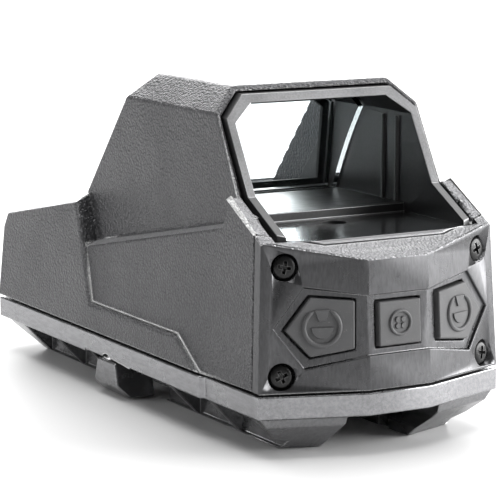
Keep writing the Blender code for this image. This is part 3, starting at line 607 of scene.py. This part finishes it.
def facet_frame(node):
    """Centre of a key's outer face, its outward normal and the two directions in its plane."""
    bm = clean_faces(node)
    rear = [face for face in bm.faces if face.normal.y < -KEY_FACET]
    face = min(rear, key=lambda f: f.calc_center_median().dot(-f.normal))
    normal, centre = face.normal.copy(), face.calc_center_bounds()
    bm.free()
    up = (Vector((0, 0, 1)) - normal * normal.z).normalized()
    return centre, normal, up.cross(normal), up


def on_key(place, x, y, rise):
    """The point at x across, y up and rise out of a key's facet."""
    centre, normal, across, up = place
    return centre + (across * x + up * y + normal * rise) * MM


def arc(radius, start, end, steps):
    """Points on an arc about the origin, from start to end in degrees."""
    angles = [radians(start + (end - start) * i / steps) for i in range(steps + 1)]
    return [(radius * cos(angle), radius * sin(angle)) for angle in angles]


def shifted(outline, x, y):
    return [(px + x, py + y) for px, py in outline]


def raised(name, place, outline, height):
    """A raised figure on a key: an outline with upright sides and a slightly drawn-in top."""
    middle = sum((Vector(point) for point in outline), Vector((0, 0))) / len(outline)
    rings = []
    for inset, rise in ((0.0, -FIGURE_SINK), (0.0, height * SHOULDER_SHARE), (FIGURE_INSET, height)):
        drawn_in = [Vector(point) + (middle - Vector(point)).normalized() * inset for point in outline]
        rings.append([on_key(place, point.x, point.y, rise) for point in drawn_in])
    return shaded(solid(name, rings))


def bead(name, place, radius, width, start, end, middle_x=0.0, steps=40, half_round=8):
    """A raised round bead that follows an arc on a key; an open arc gets tapered ends."""
    rings = []
    full = abs(end - start) >= 360
    for i in range(steps if full else steps + 1):
        angle = radians(start + (end - start) * i / steps)
        share = 1.0 if full else min(1.0, BEAD_TAPER + min(i, steps - i) * BEAD_TAPER)
        half = width / 2 * share
        sweeps = [pi * k / half_round for k in range(half_round + 1)]
        section = [(radius + cos(sweep) * half, sin(sweep) * BEAD_HEIGHT * share) for sweep in sweeps]
        section += [(radius - half, -BEAD_SINK), (radius + half, -BEAD_SINK)]
        across, up = cos(angle), sin(angle)
        rings.append([on_key(place, middle_x + out * across, out * up, rise) for out, rise in section])
    if full:
        rings.append(rings[0])
    return shaded(solid(name, rings, closed_ends=not full))


def softened_key(word):
    key = copy_of(f"button_{word}", f"key_{word}")
    return soften(key, 0.35 * MM, shortest=1.0 * MM)


def finish_key(key, node, figures):
    merge_into(key, figures)
    paint(key, KEYS)
    fit(key, node, "key_rubber", node)


def side_key(word, shift):
    """A five-sided key with a generic open ring, a wedge and a half disc."""
    node = f"button_{word}"
    place = facet_frame(node)
    key = softened_key(word)
    ring = bead("ring", place, RING_RADIUS, RING_WIDTH, RING_FROM, RING_TO, shift)
    half_disc = arc(DISC_RADIUS, 180, 360, steps=20)
    disc = raised("disc", place, shifted(half_disc, shift, 0.0), FIGURE_HEIGHT)
    wedge = raised("wedge", place, shifted(WEDGE, shift, 0.0), FIGURE_HEIGHT)
    finish_key(key, node, [ring, disc, wedge])


def middle_key():
    """The square key: a round collar with a four-lobed figure inside."""
    node = "button_middle"
    place = facet_frame(node)
    key = softened_key("middle")
    figures = [bead("collar", place, COLLAR_RADIUS, COLLAR_WIDTH, 0, 360)]
    for quarter in range(4):
        turn = radians(45 + 90 * quarter)
        x, y = LOBE_FROM_MIDDLE * cos(turn), LOBE_FROM_MIDDLE * sin(turn)
        lobe = arc(LOBE_RADIUS, 0, 360 - 360 / LOBE_CORNERS, LOBE_CORNERS - 1)
        figures.append(raised("lobe", place, shifted(lobe, x, y), LOBE_HEIGHT))
    finish_key(key, node, figures)


side_key("left", SIDE_FIGURE_SHIFT)
side_key("right", -SIDE_FIGURE_SHIFT)
middle_key()

# ---------------------------------------------------------------- screws, by geometry nodes

# The Random Value node's float sockets, which share their names with its vector and integer ones.
RANDOM_MOST, RANDOM_VALUE = 3, 1
SCREW_SMOOTH = 35
SCREW_SEED = 7


def screws_tree():
    """Screw heads on points: each looks along its point's facing and has its own turn from a fixed seed."""
    tree = bpy.data.node_groups.new("screw_heads", "GeometryNodeTree")
    new_socket = tree.interface.new_socket
    new_socket(name="Geometry", in_out="INPUT", socket_type="NodeSocketGeometry")
    new_socket(name="Piece", in_out="INPUT", socket_type="NodeSocketObject")
    new_socket(name="Finish", in_out="INPUT", socket_type="NodeSocketMaterial")
    new_socket(name="Seed", in_out="INPUT", socket_type="NodeSocketInt")
    new_socket(name="Most Turn", in_out="INPUT", socket_type="NodeSocketFloat")
    new_socket(name="Size", in_out="INPUT", socket_type="NodeSocketFloat")
    new_socket(name="Geometry", in_out="OUTPUT", socket_type="NodeSocketGeometry")
    given, result = tree.nodes.new("NodeGroupInput"), tree.nodes.new("NodeGroupOutput")

    facing = add(tree, "GeometryNodeInputNamedAttribute", data_type="FLOAT_VECTOR")
    facing.inputs["Name"].default_value = "facing"
    align = add(tree, "FunctionNodeAlignRotationToVector", axis="Z")
    tree.links.new(facing.outputs["Attribute"], align.inputs["Vector"])
    chance = add(tree, "FunctionNodeRandomValue", data_type="FLOAT")
    tree.links.new(given.outputs["Most Turn"], chance.inputs[RANDOM_MOST])
    tree.links.new(given.outputs["Seed"], chance.inputs["Seed"])
    spin = add(tree, "FunctionNodeAxisAngleToRotation")
    spin.inputs["Axis"].default_value = (0, 0, 1)
    tree.links.new(chance.outputs[RANDOM_VALUE], spin.inputs["Angle"])
    turned = add(tree, "FunctionNodeRotateRotation", rotation_space="LOCAL")
    tree.links.new(align.outputs["Rotation"], turned.inputs["Rotation"])
    tree.links.new(spin.outputs["Rotation"], turned.inputs["Rotate By"])

    source = add(tree, "GeometryNodeObjectInfo")
    tree.links.new(given.outputs["Piece"], source.inputs["Object"])
    place = add(tree, "GeometryNodeInstanceOnPoints")
    tree.links.new(given.outputs["Geometry"], place.inputs["Points"])
    tree.links.new(source.outputs["Geometry"], place.inputs["Instance"])
    tree.links.new(turned.outputs["Rotation"], place.inputs["Rotation"])
    tree.links.new(given.outputs["Size"], place.inputs["Scale"])
    real = add(tree, "GeometryNodeRealizeInstances")
    coating = add(tree, "GeometryNodeSetMaterial")
    tree.links.new(place.outputs["Instances"], real.inputs["Geometry"])
    tree.links.new(real.outputs["Geometry"], coating.inputs["Geometry"])
    tree.links.new(given.outputs["Finish"], coating.inputs["Material"])
    tree.links.new(coating.outputs["Geometry"], result.inputs["Geometry"])
    return tree


def grown_by(tree, host, values):
    """Run a tree on a host object with its inputs set by socket identifier, and bake the result."""
    modifier = host.modifiers.new(tree.name, "NODES")
    modifier.node_group = tree
    for item in tree.interface.items_tree:
        if item.item_type == "SOCKET" and item.in_out == "INPUT" and item.name in values:
            modifier[item.identifier] = values[item.name]
    return baked(host)


def turned_piece(name, profile, segments=48):
    """A round piece about Z from (height, radius) pairs in millimetres."""
    angles = [2 * pi * i / segments for i in range(segments)]
    rings = []
    for height, radius in profile:
        rings.append([Vector((radius * cos(angle), radius * sin(angle), height)) * MM for angle in angles])
    return solid(name, rings)


def cut_by(target, *cutters):
    for cutter in cutters:
        modifier = target.modifiers.new("cut", "BOOLEAN")
        modifier.operation = "DIFFERENCE"
        modifier.solver = "EXACT"
        modifier.object = cutter
    baked(target)
    for cutter in cutters:
        bpy.data.objects.remove(cutter, do_unlink=True)
    return target


def cross_head():
    """A pan head with a cross recess whose arms taper as they go down, at the origin, facing +Z."""
    shank = [(-7.6, 1.1), (-1.1, 1.1)]
    pan = [(-1.1, 2.42), (-0.55, 2.42), (-0.3, 2.3), (-0.12, 2.0), (-0.04, 1.55), (0.0, 0.9)]
    head = turned_piece("cross_head", shank + pan)
    arms = []
    for turn in (0, pi / 2):
        spin = Matrix.Rotation(turn, 3, "Z")
        rings = []
        for depth, reach, half in ((-0.95, 0.75, 0.22), (0.3, 1.6, 0.42)):
            corners = ((reach, half), (-reach, half), (-reach, -half), (reach, -half))
            rings.append([spin @ Vector((x, y, depth)) * MM for x, y in corners])
        arms.append(solid("arm", rings))
    return shaded(cut_by(head, *arms), angle=SCREW_SMOOTH)


def hex_head():
    """A cap screw's head with a hexagon socket, at the origin, facing +Z."""
    shank = [(-8.6, 1.1), (-1.2, 1.1)]
    cap = [(-1.2, 2.45), (-0.35, 2.45), (-0.1, 2.3), (0.0, 2.0)]
    head = turned_piece("hex_head", shank + cap)
    socket = turned_piece("socket", [(-0.9, 1.25), (0.4, 1.3)], segments=6)
    return shaded(cut_by(head, socket), angle=SCREW_SMOOTH)


def far_face(node, towards, tolerance=0.02 * MM):
    """The middle of a node's face that lies furthest along a direction."""
    points = [v.co.copy() for v in NODES[node].data.vertices]
    reach = max(p.dot(towards) for p in points)
    face = [p for p in points if p.dot(towards) > reach - tolerance]
    return sum(face, Vector()) / len(face)


def screw_set(name, head, nodes, facings, most_turn):
    """One piece that holds every screw of a kind, each on its CAD node's head."""
    bm = bmesh.new()
    facing = bm.verts.layers.float_vector.new("facing")
    for node, direction in zip(nodes, facings):
        vert = bm.verts.new(far_face(node, direction))
        vert[facing] = direction
    host = linked(name, bm)
    values = {"Piece": head, "Finish": SCREW, "Seed": SCREW_SEED, "Most Turn": most_turn, "Size": 1.0}
    grown_by(SCREWS, host, values)
    bpy.data.objects.remove(head, do_unlink=True)
    fit(host, "body", "screw_black", *nodes)


def panel_screws():
    """Two screws on each side facet of the rear panel, facing as the key beside them does."""
    left, right = facet_frame("button_left")[1], facet_frame("button_right")[1]
    nodes = [f"panel_screw_{i}" for i in range(1, 5)]
    screw_set("panel_screws", cross_head(), nodes, [left, right, left, right], most_turn=1.4)


def base_screws():
    """Four screws that come up through the base."""
    nodes = [f"base_screw_{i}" for i in range(1, 5)]
    screw_set("base_screws", hex_head(), nodes, [Vector((0, 0, -1))] * 4, most_turn=1.0)


SCREWS = screws_tree()
panel_screws()
base_screws()

# ---------------------------------------------------------------- base, clamp, dials and battery cap


def base():
    """The base: a plate under the shell, and the darker clamp under the plate."""
    piece = copy_of("mount_base", "clamp_base", merge=0.02 * MM)
    soften(piece, 0.35 * MM, shortest=1.2 * MM)
    plate_thickness = 5.1 * MM
    plate_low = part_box("mount_base")[1].z - plate_thickness

    def choose(centre, normal):
        return "plate" if centre.z > plate_low else "clamp"

    paint_faces(piece, {"plate": BASE, "clamp": CLAMP_METAL}, choose)
    fit(piece, "body", "base_aluminium", "mount_base")


def softened_node(node, name, body, finish, slot, width, shortest=0.8 * MM):
    """A CAD node's copy with its edges rounded, in one finish."""
    piece = copy_of(node, name)
    soften(piece, width, shortest=shortest)
    paint(piece, finish)
    fit(piece, body, slot, node)


base()
softened_node("clamp_lever", "throw_lever", "clamp_lever", CLAMP_METAL, "base_aluminium", 0.5 * MM)
softened_node("clamp_jaw", "moving_jaw", "clamp_jaw", CLAMP_METAL, "base_aluminium", 0.3 * MM)
softened_node("cross_bar", "recoil_bar", "clamp_jaw", STEEL, "steel", 0.25 * MM)
softened_node("window_retainer", "window_frame", "body", SEAL, "seal_rubber", 0.15 * MM)
softened_node("windage_dial", "windage_knob", "windage_dial", STEEL, "steel", 0.2 * MM)
softened_node("elevation_dial", "elevation_knob", "elevation_dial", STEEL, "steel", 0.2 * MM)
softened_node("battery_cap", "battery_cover", "battery_cap", INTERIOR, "housing_satin", 0.2 * MM)

# The CAD nodes that are shown as they are, under their finishes.
FINISH_OF_NODE = {
    "reflector_lens": GLASS,
    "front_window": GLASS,
    "emitter_window": GLASS,
    "keypad_membrane": SEAL,
    "control_board": BOARD,
    "switch_left": BRASS,
    "switch_middle": BRASS,
    "switch_right": BRASS,
    "emitter_carriage": BRASS,
    "emitter_module": STEEL,
    "battery_cell": WRAP,
    "contact_spring": BRASS,
    "contact_plate": BRASS,
    "cap_seal": SEAL,
    "seam_gasket": SEAL,
    "bar_screw": SCREW,
    "jaw_dowel": STEEL,
    "lever_pin": STEEL,
}
for node, finish in FINISH_OF_NODE.items():
    paint(NODES[node], finish)

# ---------------------------------------------------------------- stage

FLOOR_SIZE, FLOOR_GAP = 8.0, 0.02 * MM
ROOM_GLOW, BACKDROP_GLOW = 0.16, 1.0
CAMERA_PLACE = (-0.2581, -0.4598, 0.1129)
# Degrees above the floor, and round to the left from straight behind.
CAMERA_ABOVE, CAMERA_ROUND = 9.57, 29.55
CAMERA_LENS, CAMERA_SENSOR = 167.6, 36.0


def plain_floor():
    bpy.ops.mesh.primitive_plane_add(size=FLOOR_SIZE, location=(0, 0, cad_box[0].z - FLOOR_GAP))
    floor = bpy.context.active_object
    floor.name = "floor"
    mat, _, shader = new_material("pale_floor")
    shader.inputs["Base Color"].default_value = (0.72, 0.72, 0.72, 1)
    shader.inputs["Roughness"].default_value = 0.6
    floor.data.materials.append(mat)


def softbox(name, place, aim, size, power):
    """A rectangular area light that looks at a point; its power is in watts."""
    light = bpy.data.lights.new(name, "AREA")
    light.shape = "RECTANGLE"
    light.size, light.size_y = size
    light.energy = power
    obj = bpy.data.objects.new(name, light)
    obj.location = place
    obj.rotation_mode = "QUATERNION"
    obj.rotation_quaternion = (Vector(aim) - Vector(place)).to_track_quat("-Z", "Y")
    bpy.context.scene.collection.objects.link(obj)


def studio():
    """A dim room with a white backdrop, large lights ahead and above, and one at each side."""
    world = bpy.data.worlds.new("studio")
    bpy.context.scene.world = world
    world.use_nodes = True
    tree = world.node_tree
    sky = tree.nodes["Background"]
    sky.inputs["Color"].default_value = (1, 1, 1, 1)
    rays = add(tree, "ShaderNodeLightPath")
    seen = calc(tree, "MAXIMUM", rays.outputs["Is Camera Ray"], rays.outputs["Is Transmission Ray"])
    tree.links.new(between(tree, seen, ROOM_GLOW, BACKDROP_GLOW), sky.inputs["Strength"])
    softbox("ahead", place=(1.0, 2.1, 0.6), aim=(0, 0, 0.03), size=(1.7, 0.9), power=38.0)
    softbox("top", place=(0.15, 0.3, 1.0), aim=(0, 0.1, 0), size=(1.2, 1.2), power=22.0)
    softbox("right", place=(0.95, -0.55, 0.28), aim=(0, 0, 0.02), size=(1.0, 0.6), power=24.0)
    softbox("left", place=(-1.0, 0.5, 0.2), aim=(0, 0, 0.02), size=(0.8, 0.35), power=5.0)


def camera():
    """The view of the rear and the left side, from a little above."""
    data = bpy.data.cameras.new("camera")
    data.sensor_width = CAMERA_SENSOR
    data.lens = CAMERA_LENS
    data.clip_start = 0.01
    obj = bpy.data.objects.new("camera", data)
    obj.location = CAMERA_PLACE
    obj.rotation_euler = (radians(90 - CAMERA_ABOVE), 0, radians(-CAMERA_ROUND))
    bpy.context.scene.collection.objects.link(obj)
    bpy.context.scene.camera = obj


plain_floor()
studio()
camera()
bpy.context.scene.view_settings.view_transform = "Standard"
